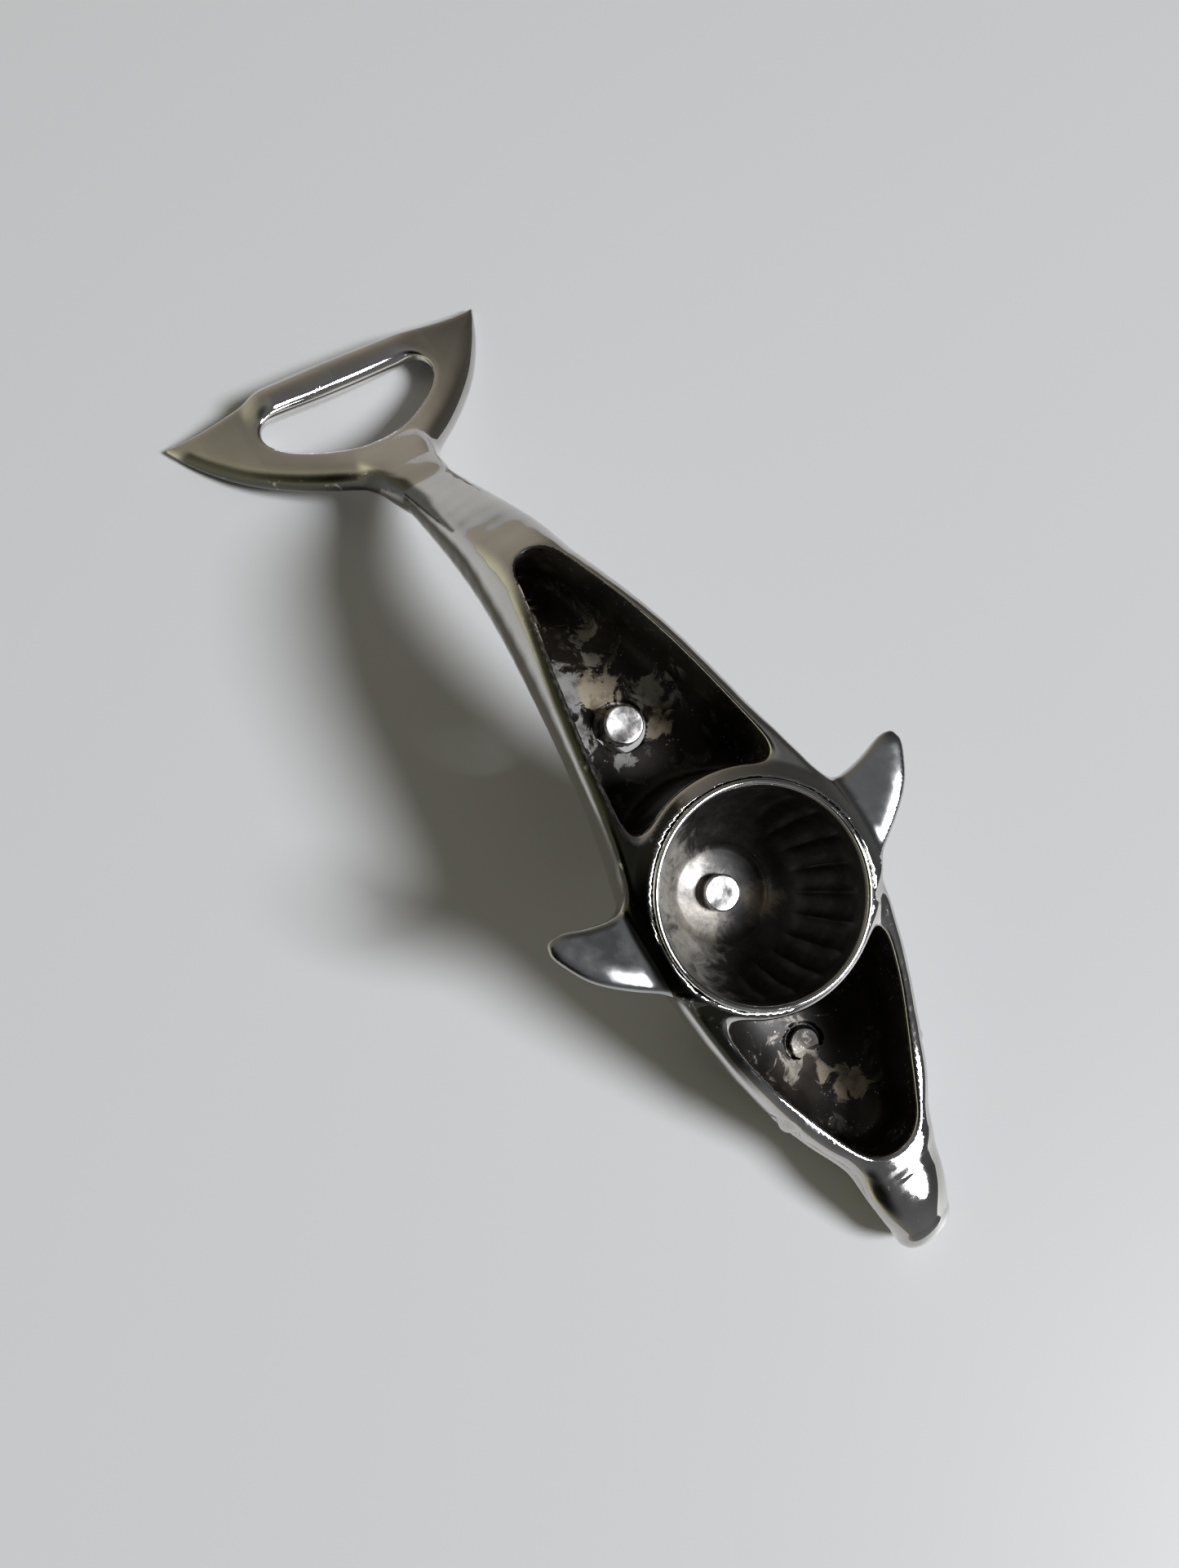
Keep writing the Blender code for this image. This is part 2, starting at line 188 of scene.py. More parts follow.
def mirrored(points):
    """Half outline that ends on the axis, continued on the other side."""
    return points + [(x, -y) for x, y in reversed(points[:-1])]


class Outline:
    """Signed distance to a plane outline, negative inside, read from a grid with cubic weights.

    An open outline gives the distance alone, without a sign.
    """

    def __init__(self, polyline, step=0.25, margin=6.0, closed=True):
        a = np.array(polyline)
        b = np.roll(a, -1, axis=0)
        if not closed:
            a, b = a[:-1], b[:-1]
        self.low, self.step = a.min(0) - margin, step
        self.count = np.ceil((a.max(0) + margin - self.low) / step).astype(int) + 1
        grid = np.stack(np.meshgrid(*(np.arange(n) for n in self.count), indexing="ij"), -1)
        points = grid.reshape(-1, 2) * step + self.low
        nearest = np.full(len(points), 1e9)
        inside = np.zeros(len(points), bool)
        for p, q in zip(a, b):
            side = q - p
            length = side @ side
            if length < 1e-12:
                continue
            share = np.clip((points - p) @ side / length, 0, 1)
            nearest = np.minimum(nearest, ((points - p - share[:, None] * side)**2).sum(1))
            crosses = (p[1] > points[:, 1]) != (q[1] > points[:, 1])
            if crosses.any():
                at = p[0] + (points[:, 1] - p[1]) * side[0] / (side[1] if side[1] else 1e-12)
                inside ^= crosses & (points[:, 0] < at)
        sign = np.where(inside, -1, 1) if closed else 1
        self.grid = (np.sqrt(nearest) * sign).reshape(self.count)

    def __call__(self, u, v):
        s = (np.stack([u, v], -1) - self.low) / self.step
        s = np.clip(s, 1, self.count - 3.001)
        i = s.astype(int)
        f = s - i
        weights = [0.5 * np.stack([-t**3 + 2 * t**2 - t, 3 * t**3 - 5 * t**2 + 2, -3 * t**3 + 4 * t**2 + t,
                                   t**3 - t**2], -1) for t in (f[..., 0], f[..., 1])]
        total = 0
        for m in range(4):
            for n in range(4):
                value = self.grid[i[..., 0] + m - 1, i[..., 1] + n - 1]
                total = total + weights[0][..., m] * weights[1][..., n] * value
        return total


def smooth_max(a, b, k):
    """Larger of two distances, rounded over where they are within k of each other."""
    return np.maximum(a, b) + np.maximum(k - np.abs(a - b), 0)**2 / (4 * k)


def smooth_min(a, b, k):
    return -smooth_max(-a, -b, k)


def fade(low, high, x):
    """Smooth rise from 0 at low to 1 at high. With low above high it is 1 below and 0 above."""
    t = np.clip((x - low) / (high - low), 0, 1)
    return t * t * (3 - 2 * t)


def mix(a, b, share):
    return a + (b - a) * share


def table(q, rows):
    """Straight lines through (q, value) rows."""
    return np.interp(q, *zip(*rows))


# ---------------------------------------------------------------- the casting as a distance field

hull_axis, hull_width, hull_up, hull_down = (
    spline([(row[0], row[column]) for row in HULL]) for column in (1, 2, 3, 4))
deck, rear_side, front_side, fluke_line, mouth_line = (
    spline(p) for p in (DECK, REAR_SIDE, FRONT_SIDE, FLUKE_LINE, MOUTH))
cup_outside = spline([(z, r) for r, z in CUP_OUTSIDE])

_along = np.linspace(FLUKE_LINE[0][0], FLUKE_LINE[-1][0], 400)
_arc = np.concatenate([[0], np.cumsum(np.hypot(np.diff(_along), np.diff(fluke_line(_along))))])
arc_length = spline(list(zip(_along[::8], _arc[::8])))


def on_arc(points):
    """(x, y) points with x changed to length along the flukes' middle line."""
    return [(float(arc_length(x)), y) for x, y in points]


flipper_plan = Outline(np.concatenate([trace(FLIPPER_LEAD), trace(FLIPPER_TRAIL)]))
flipper_lead = Outline(trace(FLIPPER_LEAD), margin=22, closed=False)
fin_plan = Outline(np.concatenate([trace(FIN_LEAD), trace(FIN_TRAIL)]))
fluke_plan = Outline(np.concatenate([
    trace(mirrored(on_arc(FLUKE_LEAD))), trace(mirrored(on_arc(FLUKE_TRAIL)))[::-1]]))
fluke_trail = spline([(y, u) for u, y in reversed(on_arc(FLUKE_TRAIL))])
eye_plan = Outline(trace(mirrored(on_arc(EYE))))


def hull_distance(x, y, z, hollow=False):
    """Distance to the body and tail stock, or to the space inside their walls, open at the top."""
    y = y - SNOUT_BEND * np.maximum(SNOUT_BEND_START - x, 0)**2
    s = np.clip(x, NOSE_START, STOCK_END)
    slope = hull_axis(s, slope=True)
    v = (z - hull_axis(s) - slope * (x - s)) / np.sqrt(1 + slope**2)
    width, up, down = hull_width(s), hull_up(s), hull_down(s)
    if hollow:
        width, up, down = width - SIDE_WALL, up + OPEN_TOP, down - FLOOR_WALL
    top = 0.5 + 0.5 * np.tanh(v / 1.2)
    height = mix(down, up, top)
    p = ROUND_SECTION
    if not hollow:
        y = y - SNOUT_SHEAR * np.maximum(v, 0) * fade(-41, -46, x)
        snout = fade(-38, -43, x) * fade(-55, -46, x)
        p = p + top * (fade(54, 64, x) * (BOXY_TOP - p) + snout * (BOXY_SNOUT - p))
    end = np.maximum(NOSE_START - x, 0) / NOSE_CAP + np.maximum(x - STOCK_END, 0) / STOCK_CAP
    a, b = np.abs(y) / width, np.abs(v) / height
    rho = np.maximum(a**p + b**p + end**p, 1e-9)**(1 / p)
    caps = np.where(x < 0, NOSE_CAP, STOCK_CAP)
    rise = np.sqrt((a**(p - 1) / width)**2 + (b**(p - 1) / height)**2 + (end**(p - 1) / caps)**2)
    return (rho - 1) / np.maximum(rise * rho**(1 - p), 1e-3)


def flipper_distance(x, y, z):
    """Flat face, pitched towards the tail, with a slow fall to the leading edge."""
    span = np.abs(y)
    half = table(span, FLIPPER_HALF)
    middle = table(span, FLIPPER_MIDDLE) - FLIPPER_PITCH * (x - 3)
    plan = flipper_plan(x, span)
    fall = np.maximum(3.5 - flipper_lead(x, span), 0)**2 / 22
    face = smooth_max(plan, z - middle - half + fall, 0.9)
    return smooth_max(face, middle - half - z, 2.4)


def fin_distance(x, y, z):
    return smooth_max(fin_plan(x, z), np.abs(y) - table(-z, FIN_HALF), 2.4)


def fluke_coordinates(x, y, z):
    """Length along the flukes' curved middle line, span from it, and height off its surface."""
    slope = fluke_line(x, slope=True)
    lean = 1 / np.sqrt(1 + slope**2)
    rise = (z - fluke_line(x) + FLUKE_DROOP * (y / FLUKE_SPAN)**2) * lean
    return arc_length(x) + rise * slope * lean, np.abs(y), rise


def fluke_distance(x, y, z):
    """Two flat-topped arms with rolled edges, joined at the back by a round bar."""
    u, span, rise = fluke_coordinates(x, y, z)
    half = table(span, FLUKE_HALF)
    outside, hole = fluke_plan(u, span), -eye_plan(u, span)
    leading = fade(1.5, 5, fluke_trail(span) - u)
    drafted = (outside + FLUKE_DRAFT * rise * leading) / (1 + 0.16 * leading)
    outer = smooth_max(drafted, rise - half, 1.3 * half)
    inner = smooth_max(hole, rise - half, 1.6)
    arms = smooth_max(smooth_max(outer, inner, 0.6), -rise - half, 1.9 * half)
    middle = (outside - hole) / np.maximum(-outside - hole, 2)
    level = rise - FLUKE_DROOP * (y / FLUKE_SPAN)**2 - BAR_TILT * y - BAR_BOW * y**2 + BAR_DROP
    rod = (np.hypot(middle, level / half) - 1) * half
    return mix(arms, rod, fade(100, 106, x) * fade(19, 12, span))


def pocket_distances(x, y):
    """Distances to the outlines of the rear and front pockets."""
    radius = np.hypot(x, y)
    rear = smooth_max(smooth_max(np.abs(y) - rear_side(x), REAR_CUP_ARC - radius, 4.4), x - REAR_END, 3.2)
    rear = smooth_max(rear, REAR_START - x, 0.1)
    front = smooth_max(smooth_max(np.abs(y) - front_side(x), FRONT_CUP_ARC - radius, 4.0), FRONT_END - x, 3.6)
    front = smooth_max(front, x - FRONT_START, 0.1)
    return rear, front


def moat(x, y, z, pad, size):
    """Ring groove in a pocket's floor round an ejector pad."""
    width, depth = size
    across = np.abs(np.hypot(x - pad[0], y) - pad[1] - width / 2) - width / 2
    return smooth_max(across, np.abs(z - pad[2]) - depth, 0.5)


def casting(points):
    """The whole casting: hull cut off at the belly's edge, with face, fins and flukes, then hollowed."""
    x, y, z = points.T
    radius = np.hypot(x, y)
    cup_rise, snout_rise = 0.75 * fade(18.4, 15.7, radius), 8 * fade(-44.5, -51, x)
    edge = deck(x) + cup_rise + snout_rise
    rounding = 1.0 - 0.7 * fade(-40.5, -43.5, x) + 1.0 * fade(17, 24, x)
    body = smooth_max(hull_distance(x, y, z), (z - edge) * 0.96, rounding)
    body = body + 0.5 * np.exp(-((z - mouth_line(x)) / 0.45)**2) * fade(-52, -49, x) * fade(-30, -34, x)
    eye = np.hypot(np.hypot(x - EYEBALL[0], np.abs(y) - EYEBALL[1]), z - EYEBALL[2])
    body = smooth_min(body, eye - EYEBALL[3], 0.7) + 0.3 * np.exp(-((eye - EYEBALL[3] - 0.7) / 0.35)**2)
    body = body + RIPPLE * np.sin(0.9 * x + 0.5 * y) * np.sin(0.8 * z - 0.35 * x + 0.3 * y)

    for close, part, blend in (
            ((x > -12) & (x < 16) & (np.abs(y) > 9), flipper_distance, 2.6),
            ((x > -4) & (x < 36) & (z < -10) & (np.abs(y) < 9), fin_distance, 3.0),
            (x > 74, fluke_distance, 3.6)):
        added = np.full(len(x), 30.0)
        added[close] = part(x[close], y[close], z[close])
        body = smooth_min(body, added, blend)

    seat = smooth_max(radius - cup_outside(z) - 0.1, CUP_BOTTOM - z, 0.5)
    body = smooth_max(body, -seat, 0.1)
    hollow = smooth_max(np.minimum(*pocket_distances(x, y)), hull_distance(x, y, z, hollow=True), 1.6)
    hollow = np.minimum(hollow, moat(x, y, z, REAR_PAD, REAR_MOAT))
    hollow = np.minimum(hollow, moat(x, y, z, FRONT_PAD, FRONT_MOAT))
    return smooth_max(body, -hollow, 0.7)


# ---------------------------------------------------------------- mesher

def net(field, low, high, step):
    """Quad mesh of the field's zero surface: one vertex in each grid cell that it crosses."""
    low = np.array(low, float)
    sizes = (8, 2, 1)
    count = np.ceil((np.array(high) - low) / (step * sizes[0])).astype(int)
    cells = np.stack(np.meshgrid(*(np.arange(n) for n in count), indexing="ij"), -1).reshape(-1, 3)
    for size, finer in zip(sizes[:2], sizes[1:]):
        centres = low + (cells + 0.5) * step * size
        cells = cells[np.abs(field(centres)) < step * size * 1.25 + 0.3]
        split = size // finer
        offsets = np.stack(np.meshgrid(*(np.arange(split),) * 3, indexing="ij"), -1).reshape(-1, 3)
        cells = (cells[:, None] * split + offsets).reshape(-1, 3)

    total = count * sizes[0] + 2
    stride = np.array([total[1] * total[2], total[2], 1])
    corners = np.array([(i, j, k) for i in (0, 1) for j in (0, 1) for k in (0, 1)])
    keys = (cells + 1) @ stride
    corner_keys = keys[:, None] + corners @ stride
    unique, index = np.unique(corner_keys, return_inverse=True)
    index = index.reshape(corner_keys.shape)
    places = np.stack([unique // stride[0], unique // stride[1] % total[1], unique % total[2]], -1) - 1
    values = field(low + places * step)
    inside = values < 0
    found = inside[index].any(1) & ~inside[index].all(1)
    cells, keys, index = cells[found], keys[found], index[found]
    order = np.argsort(keys)
    cells, keys, index = cells[order], keys[order], index[order]

    total_point, hits = np.zeros((len(cells), 3)), np.zeros(len(cells))
    edges = [(a, b) for a in range(8) for b in range(a + 1, 8) if np.abs(corners[a] - corners[b]).sum() == 1]
    for a, b in edges:
        va, vb = values[index[:, a]], values[index[:, b]]
        cross = (va < 0) != (vb < 0)
        share = np.where(cross, va / np.where(cross, va - vb, 1), 0)
        point = corners[a] + share[:, None] * (corners[b] - corners[a])
        total_point += np.where(cross[:, None], point, 0)
        hits += cross
    vertices = low + (cells + total_point / hits[:, None]) * step

    faces = []
    for axis in range(3):
        one, two = [(1, 2), (2, 0), (0, 1)][axis]
        first = inside[index[:, 0]]
        last = inside[index[:, int(4 >> axis)]]
        for enters in (True, False):
            rows = np.where((first == enters) & (last != enters))[0]
            around = [keys[rows], keys[rows] - stride[one], keys[rows] - stride[one] - stride[two],
                      keys[rows] - stride[two]]
            quad = np.stack([np.searchsorted(keys, k) for k in around], -1)
            faces.append(quad if enters else quad[:, ::-1])
    return vertices, np.concatenate(faces)


def gradient(field, points, reach=0.03):
    slopes = []
    for axis in range(3):
        shift = np.zeros(3)
        shift[axis] = reach
        slopes.append((field(points + shift) - field(points - shift)) / (2 * reach))
    return np.stack(slopes, -1)


def settle(field, vertices, faces, rounds=5):
    """Evens out the mesh along the surface and pulls every vertex exactly onto it."""
    ends = np.concatenate([faces[:, [0, 1]], faces[:, [1, 2]], faces[:, [2, 3]], faces[:, [3, 0]]])
    degree = np.bincount(ends[:, 0], minlength=len(vertices))[:, None]
    for turn in range(rounds):
        slope = gradient(field, vertices)
        size = np.maximum((slope**2).sum(1), 0.05)
        pull = (field(vertices) / size)[:, None] * slope
        length = np.linalg.norm(pull, axis=1, keepdims=True)
        vertices = vertices - pull * np.minimum(1, 0.3 / np.maximum(length, 1e-9))
        if turn < rounds - 2:
            middle = np.stack([np.bincount(ends[:, 0], vertices[ends[:, 1], c], len(vertices))
                               for c in range(3)], -1) / degree
            move = middle - vertices
            normal = slope / np.linalg.norm(slope, axis=1, keepdims=True)
            vertices = vertices + 0.5 * (move - (move * normal).sum(1, keepdims=True) * normal)
    return vertices


# ---------------------------------------------------------------- dividing the skin at the nodes' seams

def cut(mesh, place, normal, wanted):
    """Splits the faces whose centres are wanted along a plane."""
    faces = [f for f in mesh.faces if wanted(f.calc_center_median())]
    edges = {e for f in faces for e in f.edges}
    verts = {v for f in faces for v in f.verts}
    bmesh.ops.bisect_plane(mesh, geom=faces + list(edges) + list(verts), dist=1e-5, plane_co=place,
                           plane_no=normal)


def below_fin_seam(c):
    """Below the plane between hull and fin.

    The plane also cuts a slice off the hull's back ahead of the fin, and that slice goes with the fin.
    """
    return c.z < FIN_SEAM_HEIGHT + FIN_SEAM_SLOPE * c.x


def node_at(c):
    if c.x < SNOUT_SEAM:
        return "snout"
    if c.x > FLUKE_SEAM:
        return "opener_flukes"
    if c.x > STOCK_SEAM:
        return "tail_stock"
    if abs(c.y) > FLIPPER_SEAM:
        return "left_flipper" if c.y > 0 else "right_flipper"
    if c.x < FIN_SEAM_END and below_fin_seam(c):
        return "dorsal_fin"
    return "body_shell"


def divide(vertices, faces):
    """The skin's faces by node, as lists of vertex numbers."""
    mesh = bmesh.new()
    verts = [mesh.verts.new(v) for v in vertices.tolist()]
    for face in faces.tolist():
        mesh.faces.new([verts[i] for i in face])
    for seam in (SNOUT_SEAM, STOCK_SEAM, FLUKE_SEAM):
        cut(mesh, (seam, 0, 0), (1, 0, 0), lambda c: abs(c.x - seam) < 2)
    for side in (-1, 1):
        cut(mesh, (0, side * FLIPPER_SEAM, 0), (0, 1, 0),
            lambda c: abs(c.y - side * FLIPPER_SEAM) < 2 and abs(c.x) < 20)
    cut(mesh, (0, 0, FIN_SEAM_HEIGHT), (-FIN_SEAM_SLOPE, 0, 1), lambda c: c.x < FIN_SEAM_END and c.z < -18)
    mesh.verts.index_update()
    points = np.array([v.co[:] for v in mesh.verts])
    groups = {}
    for face in mesh.faces:
        groups.setdefault(node_at(face.calc_center_median()), []).append([v.index for v in face.verts])
    mesh.free()
    return points, groups


def seam_loops(faces):
    """Closed chains of the edges that only one face has, turned to face outwards."""
    edges = {(a, b) for face in faces for a, b in zip(face, face[1:] + face[:1])}
    after = {b: a for a, b in edges if (b, a) not in edges}
    loops = []
    while after:
        start = next(iter(after))
        loop, at = [], start
        while at in after:
            loop.append(at)
            at = after.pop(at)
        loops.append(loop)
    return loops


# ---------------------------------------------------------------- making objects

def to_world(points):
    return (np.asarray(points) @ TO_WORLD.T + WORLD_START) * MM


def add_object(name, points, faces, material):
    mesh = bpy.data.meshes.new(name)
    mesh.from_pydata(to_world(points).tolist(), [], faces)
    mesh.shade_smooth()
    mesh.materials.append(material)
    thing = bpy.data.objects.new(name, mesh)
    bpy.context.collection.objects.link(thing)
    return thing


def place(thing, slot, *nodes):
    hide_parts(*nodes)
    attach(thing, "root")


# design x and y, radius, share of tan, strength: where the tarnish has come off
FLAKES = [
    (37.2, 4.4, 4.2, 0.05, 1.0), (35.2, 0.2, 3.6, 0.8, 1.0), (39.6, -2.2, 1.8, 0.4, 0.9),
    (50.2, 3.0, 3.2, 0.85, 1.0), (52.8, 1.2, 1.8, 0.3, 0.8), (31.0, -6.4, 3.0, 0.3, 0.8),
    (26.0, -4.9, 2.2, 0.8, 0.9), (30.5, 6.6, 3.4, 0.05, 0.95), (43.0, -3.6, 2.6, 0.3, 0.7),
    (24.0, 2.0, 2.2, 0.1, 0.75), (46.0, 4.6, 2.2, 0.3, 0.8),
    (-26.0, 3.0, 7.0, 0.45, 0.52), (-33.8, -2.4, 2.4, 1.0, 0.95), (-31.0, 0.6, 2.6, 0.8, 0.7),
]
# same columns for the cup; its patches sit mostly on the lining's lit side: painted light as well as flaking
CUP_FLAKES_AND_PAINTED_LIGHT = [
    (4.0, 4.0, 4.0, 0.25, 1.0), (-1.5, 5.0, 4.0, 0.4, 1.0), (4.5, 9.0, 5.0, 0.15, 1.0),
    (-4.0, -5.0, 2.6, 1.0, 0.8), (-4.0, 9.5, 4.6, 0.1, 0.9), (9.5, 5.0, 3.6, 0.1, 0.8),
]


def add_wear_and_painted_light(thing, inside, flakes, points, stain_and_painted_reflection=0.0):
    """Colour attribute for tarnish and painted light: inside a hollow, flaking, tan in a flake, and painted
    dark reflection. In the cup the flaking sits mostly where light falls, so it is painted light too.

    Only worn_chrome_with_painted_reflection and cup_chrome_with_painted_light read it.
    """
    flaked_and_painted_light, tan = np.zeros(len(points)), np.zeros(len(points))
    for x, y, radius, share, strength in flakes:
        near = strength * np.clip(1 - np.hypot(points[:, 0] - x, points[:, 1] - y) / (2 * radius), 0, 1)
        tan = np.where(near > flaked_and_painted_light, share, tan)
        flaked_and_painted_light = np.maximum(flaked_and_painted_light, near)
    layer = thing.data.attributes.new("wear_and_painted_light", "FLOAT_COLOR", "POINT")
    values = np.stack([inside, flaked_and_painted_light, tan, np.zeros(len(points)) + stain_and_painted_reflection], -1)
    layer.data.foreach_set("color", values.astype(np.float32).ravel())


def inside_pockets(points):
    x, y, z = points.T
    outline = np.minimum(*pocket_distances(x, y))
    return fade(0.55, 0.1, outline) * fade(0.15, 0.9, deck(x) - z)


def left_painted_reflection(points):
    """Painted dark reflections on the animal's left, on the belly's edge and the left fluke's edge, where the
    plating mirrors the dark room and the shaded table, and painted shade in a crease of the stock.

    They are painted into the plating's colour; on the real casting they are reflections and shade. They are
    painted in because the photograph is dark there. On the real casting they may be reflections of a dark
    room.
    """
    x, y, z = points.T
    clear = fade(0.3, 0.6, np.minimum(*pocket_distances(x, y))) * fade(15.9, 16.3, np.hypot(x, y))
    rim = fade(1.5, 0.8, deck(x) - z) * fade(1.5, 5, y) * fade(-25, -17, x) * fade(58, 46, x) * clear
    along = (x - 67) / 18
    crease = fade(0.35, 0, 0.6 * np.abs(z + 29.7 + 24.6 * along) - 1.1 * along) * fade(2.2, 3.2, y)
    crease = crease * (x > 67) * (x < 87)
    u, span, _ = fluke_coordinates(x, y, z)
    leading = fade(2, 4, fluke_trail(span) - u) * fade(2, 5, y) * (x > 84)
    edge = fade(-2.4, -1.5, fluke_plan(u, span)) * leading
    return np.maximum(np.maximum(rim, 0.95 * crease), 0.9 * edge)


def add_skin(name, points, faces, material, slot):
    used = sorted({i for face in faces for i in face})
    number = {old: new for new, old in enumerate(used)}
    points = points[used]
    faces = [[number[i] for i in face] for face in faces]
    caps = seam_loops(faces)
    smooth = gradient(casting, points)
    smooth /= np.linalg.norm(smooth, axis=1, keepdims=True)
    corners = [smooth[np.concatenate([np.array(face) for face in faces])]]
    for cap in caps:
        ring = points[cap]
        flat = np.cross(ring, np.roll(ring, -1, axis=0)).sum(0)
        corners.append(np.tile(flat / np.linalg.norm(flat), (len(cap), 1)))
    thing = add_object(name, points, faces + caps, material)
    thing.data.normals_split_custom_set((np.concatenate(corners) @ TO_WORLD.T).tolist())
    # the last argument paints dark reflections and shade on the animal's left into the colour
    add_wear_and_painted_light(thing, inside_pockets(points), FLAKES, points, left_painted_reflection(points))
    place(thing, slot, name)


def lathe(profile, sides, shape=None):
    """Ring mesh of a profile of (radius, height) points, closed at the axis where the radius is zero."""
    turn = np.arange(sides) * 2 * pi / sides
    points, rows = [], []
    for k, (radius, height) in enumerate(profile):
        if radius == 0:
            rows.append([len(points)] * sides)
            points.append((0, 0, height))
            continue
        r = np.full(sides, radius) if shape is None else shape(k, radius, turn)
        rows.append(list(range(len(points), len(points) + sides)))
        points += list(zip(r * np.cos(turn), r * np.sin(turn), np.full(sides, height)))
    faces = []
    for low, high in zip(rows, rows[1:]):
        for a in range(sides):
            b = (a + 1) % sides
            face = [low[a], low[b], high[b], high[a]]
            faces.append([p for i, p in enumerate(face) if p not in face[:i]])
    return np.array(points), faces


def add_cup(material):
    """Lining with rounded lip and flutes, closed underneath."""
    radius, share = (spline([(-row[1], row[column]) for row in CUP_INSIDE]) for column in (0, 2))
    depths = np.concatenate([
        np.linspace(0.3, 4.4, 14), np.linspace(4.9, 12.5, 16), np.linspace(13, 19.1, 22)])
    lip = [(mix(LIP_OUTER, LIP_INNER, t), -LIP_CROWN * (2 * t - 1)**2 - 0.2 * abs(2 * t - 1)**9)
           for t in np.linspace(0, 1, 19)]
    floor = [(3.0, -19.2), (1.5, -19.25), (0, -19.25)]
    profile = [(0, CUP_BOTTOM), (4.0, CUP_BOTTOM)] + CUP_OUTSIDE + lip
    inner_start = len(profile)
    profile += [(float(radius(d)), -d) for d in depths] + floor

    def fluted(k, r, turn):
        depth = k - inner_start
        if not 0 <= depth < len(depths):
            return np.full(len(turn), r)
        wave = 1 - np.abs(np.sin(CUP_FLUTES * turn / 2))
        deep = FLUTE_DEPTH * np.clip(float(share(depths[depth])), 0, 1)
        return r + deep * (0.5 - wave**1.5)
    points, faces = lathe(profile, CUP_FLUTES * 16, fluted)
    cup = add_object("cap_grip_cup", points, faces, material)
    lining = fade(-0.35, -0.8, points[:, 2]) * (np.hypot(points[:, 0], points[:, 1]) < 15.3)
    # the cup's flaking patches sit mostly on the lining's lit side, as painted light
    add_wear_and_painted_light(cup, lining, CUP_FLAKES_AND_PAINTED_LIGHT, points)
    place(cup, "tarnished_chrome", "cap_grip_cup")


def add_pad(name, sizes, material, slot, uneven):
    """Ejector pad: a low boss with a rolled edge and a top that was never polished flat."""
    x, radius, low, high = sizes
    turns = np.linspace(pi / 2, 0, 7)
    edge = [(radius - PAD_ROLL + PAD_ROLL * sin(a), high - PAD_ROLL + PAD_ROLL * cos(a)) for a in turns]
    rings = [(radius * t, high) for t in np.linspace(0.84, 0, 12)]
    points, faces = lathe([(0, low), (radius, low)] + edge + rings, 64)
    top = fade(low, high - PAD_ROLL, points[:, 2])
    px, py = points[:, 0], points[:, 1]
    waves = np.sin(0.8 * px + 0.5 * py) + np.sin(1.1 * py - 0.7 * px + 1.0) + 0.5 * np.sin(1.7 * px + 2.3)
    points[:, 2] -= uneven * top * (2.5 + waves) / 5
    points[:, 0] += x
    pad = add_object(name, points, faces, material)
    add_wear_and_painted_light(pad, np.ones(len(px)), FLAKES, points)
    place(pad, slot, name)


# ---------------------------------------------------------------- materials

class Shader:
    """A Principled material and short calls for the nodes that drive it."""

    def __init__(self, name, metallic=1.0):
        self.material = bpy.data.materials.new(name)
        self.material.use_nodes = True
        self.tree = self.material.node_tree
        self.main = self.tree.nodes["Principled BSDF"]
        self.main.inputs["Metallic"].default_value = metallic
        self.place = self.node("ShaderNodeTexCoord").outputs["Object"]

    def node(self, kind, inputs=(), **settings):
        node = self.tree.nodes.new(kind)
        for key, value in settings.items():
            setattr(node, key, value)
        for key, value in dict(inputs).items():
            if isinstance(value, bpy.types.NodeSocket):
                self.tree.links.new(value, node.inputs[key])
            else:
                node.inputs[key].default_value = value
        return node

    def noise(self, scale, detail=3.0, rough=0.55, distort=0.0, place=None):
        return self.node("ShaderNodeTexNoise", {
            "Vector": place or self.place, "Scale": scale, "Detail": detail, "Roughness": rough,
            "Distortion": distort}).outputs["Fac"]

    def stretched(self, scale, turn=(0, 0, 0)):
        return self.node("ShaderNodeMapping", {"Vector": self.place, "Scale": scale, "Rotation": turn}
                         ).outputs["Vector"]

    def specks(self, scale, size):
        cells = self.node("ShaderNodeTexVoronoi", {"Vector": self.place, "Scale": scale}).outputs["Distance"]
        return self.ramp(cells, size, 0.0)

    def ramp(self, value, low, high, out_low=0.0, out_high=1.0):
        return self.node("ShaderNodeMapRange", {
            "Value": value, "From Min": low, "From Max": high, "To Min": out_low, "To Max": out_high},
            interpolation_type="SMOOTHSTEP").outputs["Result"]

    def maths(self, operation, a, b=0.0):
        return self.node("ShaderNodeMath", {0: a, 1: b}, operation=operation).outputs["Value"]

    def blend(self, share, a, b):
        """Mix of two colours (4 values or sockets) or of two numbers."""
        colour = not all(isinstance(v, (int, float)) or getattr(v, "type", "") == "VALUE" for v in (a, b))
        node = self.node("ShaderNodeMix", data_type="RGBA" if colour else "FLOAT")
        where = (0, 6, 7, 2) if colour else (0, 2, 3, 0)
        for slot, value in zip(where, (share, a, b)):
            if isinstance(value, bpy.types.NodeSocket):
                self.tree.links.new(value, node.inputs[slot])
            else:
                node.inputs[slot].default_value = value
        return node.outputs[where[3]]

    def finish(self, colour, roughness, height=None, bump=0.2, distance=0.0002, metallic=None):
        sockets = [("Base Color", colour), ("Roughness", roughness)]
        if metallic is not None:
            sockets.append(("Metallic", metallic))
        for socket, value in sockets:
            if isinstance(value, bpy.types.NodeSocket):
                self.tree.links.new(value, self.main.inputs[socket])
            else:
                self.main.inputs[socket].default_value = value
        if height is not None:
            normal = self.node("ShaderNodeBump", {"Height": height, "Strength": bump, "Distance": distance})
            self.tree.links.new(normal.outputs["Normal"], self.main.inputs["Normal"])
        return self.material


